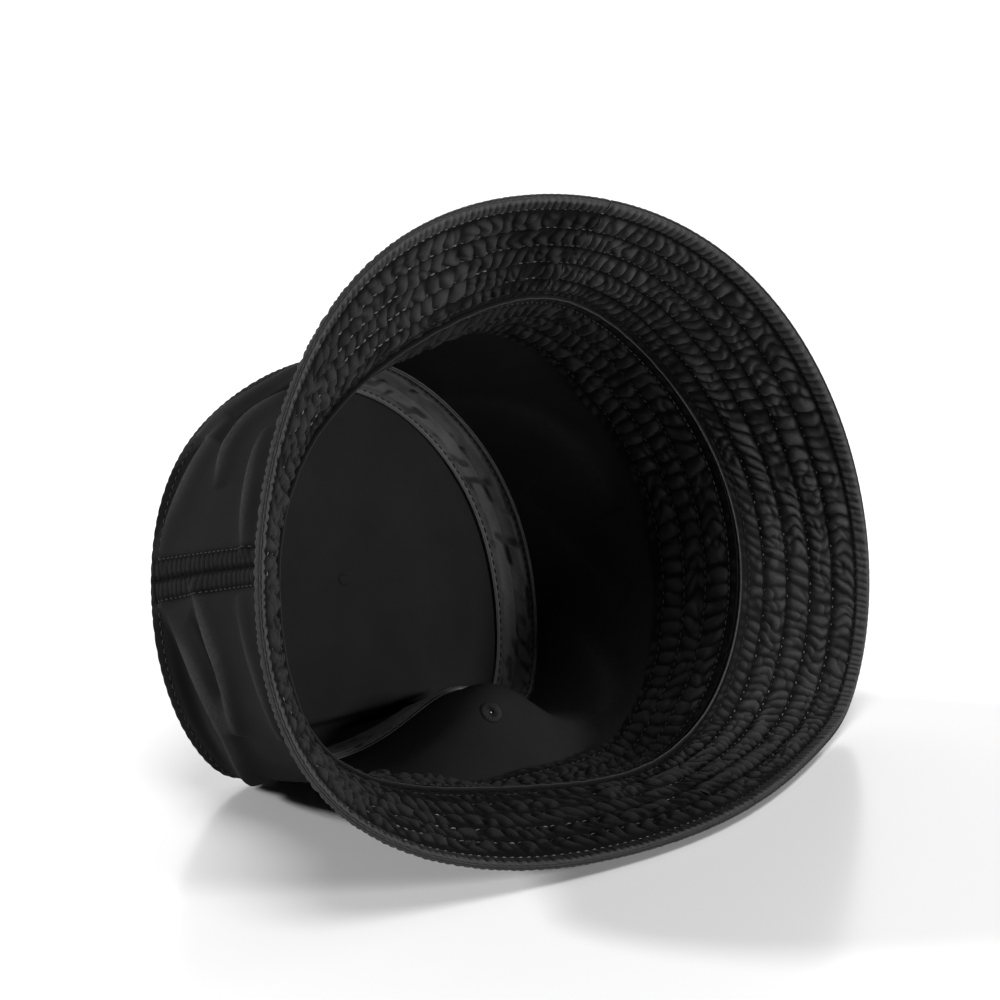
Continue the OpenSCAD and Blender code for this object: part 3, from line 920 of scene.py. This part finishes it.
def make_ridge():
    """The sharp rolled ridge where sweatband and brim are sewn together."""
    turns = np.arange(0, 360, 0.3)
    _, wall_n = place(crown, turns, np.full_like(turns, 87.6))
    _, brim_n = place(brim, turns, np.full_like(turns, 0.6))
    p = ring(OPENING, turns)
    n = wall_n + brim_n
    n /= np.linalg.norm(n, axis=1, keepdims=True)
    p = p + n * (1.75 + 0.2 * noise(turns / 360 * 160, 0.5, 151, 160))[:, None]
    tangent = np.roll(p, -1, 0) - np.roll(p, 1, 0)
    tangent /= np.linalg.norm(tangent, axis=1, keepdims=True)
    side = np.cross(tangent, n)
    sides = 10
    angle = np.arange(sides) * 2 * math.pi / sides
    wide, tall = 0.5, 1.0
    section = (side[:, None] * np.cos(angle)[:, None] * wide
               + n[:, None] * np.sin(angle)[:, None] * tall)
    verts = (p[:, None] + section).reshape(-1, 3)
    c, k = np.meshgrid(np.arange(len(turns)), np.arange(sides), indexing="ij")
    d = (c + 1) % len(turns)
    m = (k + 1) % sides
    quads = np.stack([c * sides + k, d * sides + k, d * sides + m, c * sides + m], -1)
    quads = quads.reshape(-1, 4)
    # Painted highlight along the ridge's crest, palest at the front, and painted shade on its other
    # side
    crest = smooth(np.sin(angle), 0.4, 0.95)
    wear_and_highlight = 0.3 + 0.5 * (bell(turns, 0, 75) + bell(turns, 360, 75))
    wear_and_shade = (wear_and_highlight[:, None] * crest - 0.7 * (1 - crest)).ravel()
    uv = np.zeros((len(quads), 4, 2))
    return new_object("ridge", verts, [quads], BAND_CLOTH, [uv], wear_and_shade)


# ---------------------------------------------------------------- eyelets

# The ring of thread: its middle radius, and half its width and height
EYELET_MIDDLE = 2.05
EYELET_HALF_WIDTH = 1.75
EYELET_HALF_HEIGHT = 1.0
EYELET_WINDINGS = 28


def eyelet_mesh(turn):
    """A ring of thread wound round an air hole, with its windings as radial ribs."""
    p, n = place(crown, np.array([turn]), np.array([EYELET_RISE]))
    inside, _ = wall_heights(np.array([turn]), np.array([EYELET_RISE]))
    n = n[0]
    p = p[0] - n * TWILL / 2 + n * inside[0]
    side = np.cross(n, [0, 0, 1])
    side /= np.linalg.norm(side)
    other = np.cross(n, side)
    around, section = 168, 12
    phi = np.arange(around) * 2 * math.pi / around
    theta = np.arange(section) * 2 * math.pi / section
    rib = (1 + 0.16 * np.cos(EYELET_WINDINGS * phi))[:, None]
    reach = EYELET_MIDDLE + np.cos(theta)[None] * EYELET_HALF_WIDTH * (0.95 + 0.05 * rib)
    height = np.sin(theta)[None] * EYELET_HALF_HEIGHT * rib
    radial = np.cos(phi)[:, None] * side + np.sin(phi)[:, None] * other
    verts = p + reach[..., None] * radial[:, None] + height[..., None] * n
    c, k = np.meshgrid(np.arange(around), np.arange(section), indexing="ij")
    d = (c + 1) % around
    m = (k + 1) % section
    quads = np.stack([c * section + k, c * section + m, d * section + m, d * section + k], -1)
    return verts.reshape(-1, 3), quads.reshape(-1, 4)


def make_eyelets():
    for name, middle in (("eyelets_left", LEFT_EYELETS), ("eyelets_right", RIGHT_EYELETS)):
        verts, faces, first = [], [], 0
        for turn in eyelet_turns(middle):
            points, quads = eyelet_mesh(turn)
            verts.append(points)
            faces.append(quads + first)
            first += len(points)
        obj = new_object(name + "_sewn", np.concatenate(verts), [np.concatenate(faces)],
                         EYELET_THREAD)
        piece(obj, "eyelet_thread", name)


make_brim()
make_wall()
make_tip()
make_tape()
make_sweatband()
make_back_seam_stitches()
make_eyelets()

# ---------------------------------------------------------------- the studio

def make_floor():
    mesh = bpy.data.meshes.new("floor")
    size = 20.0
    corners = [(-size, -size, 0), (size, -size, 0), (size, size, 0), (-size, size, 0)]
    mesh.from_pydata(corners, [], [(0, 1, 2, 3)])
    floor = bpy.data.objects.new("floor", mesh)
    bpy.context.scene.collection.objects.link(floor)
    material = bpy.data.materials.new("glossy_white")
    material.use_nodes = True
    nodes, links = material.node_tree.nodes, material.node_tree.links
    nodes.clear()
    matt = nodes.new("ShaderNodeBsdfDiffuse")
    matt.inputs["Color"].default_value = (0.95, 0.95, 0.95, 1)
    gloss = nodes.new("ShaderNodeBsdfAnisotropic")
    gloss.inputs["Color"].default_value = (1, 1, 1, 1)
    gloss.inputs["Roughness"].default_value = 0.2
    mix = nodes.new("ShaderNodeMixShader")
    mix.inputs["Fac"].default_value = 0.3
    out = nodes.new("ShaderNodeOutputMaterial")
    links.new(matt.outputs[0], mix.inputs[1])
    links.new(gloss.outputs[0], mix.inputs[2])
    links.new(mix.outputs[0], out.inputs["Surface"])
    mesh.materials.append(material)


def soft_sun(name, direction, spread, strength):
    """Light from a wide patch of sky in a direction."""
    light = bpy.data.lights.new(name, "SUN")
    light.energy = strength
    light.angle = math.radians(spread)
    obj = bpy.data.objects.new(name, light)
    obj.rotation_euler = Vector(direction).to_track_quat("Z", "Y").to_euler()
    bpy.context.scene.collection.objects.link(obj)


def make_world(front, behind):
    """A dim room, brightness front, with a white wall behind the hat, brightness behind."""
    world = bpy.data.worlds.new("studio")
    bpy.context.scene.world = world
    world.use_nodes = True
    nodes, links = world.node_tree.nodes, world.node_tree.links
    where = nodes.new("ShaderNodeTexCoord")
    facing = nodes.new("ShaderNodeVectorMath")
    facing.operation = "DOT_PRODUCT"
    facing.inputs[1].default_value = (-0.68, 0.73, 0.05)
    links.new(where.outputs["Generated"], facing.inputs[0])
    level = nodes.new("ShaderNodeMapRange")
    level.inputs["From Min"].default_value = 0.1
    level.inputs["From Max"].default_value = 0.6
    level.inputs["To Min"].default_value = front
    level.inputs["To Max"].default_value = behind
    links.new(facing.outputs["Value"], level.inputs["Value"])
    background = nodes["Background"]
    background.inputs["Color"].default_value = (1, 1, 1, 1)
    links.new(level.outputs["Result"], background.inputs["Strength"])


def make_camera():
    camera = bpy.data.cameras.new("camera")
    camera.sensor_width = 36
    camera.lens = 113.7
    obj = bpy.data.objects.new("camera", camera)
    obj.location = (0.7244, -0.6754, 0.3616)
    aim = Vector((0.018, -0.0166, 0.1028))
    obj.rotation_euler = (aim - obj.location).to_track_quat("-Z", "Y").to_euler()
    bpy.context.scene.collection.objects.link(obj)
    bpy.context.scene.camera = obj


make_floor()
make_world(front=0.02, behind=0.8)
soft_sun("key", (0.86, 0.4, 0.28), 12, 3.1)
soft_sun("crown_light", (-0.66, -0.66, 0.42), 10, 3.4)
soft_sun("top", (0.3, -0.25, 1.0), 26, 1.9)
make_camera()
bpy.context.scene.view_settings.view_transform = "Standard"
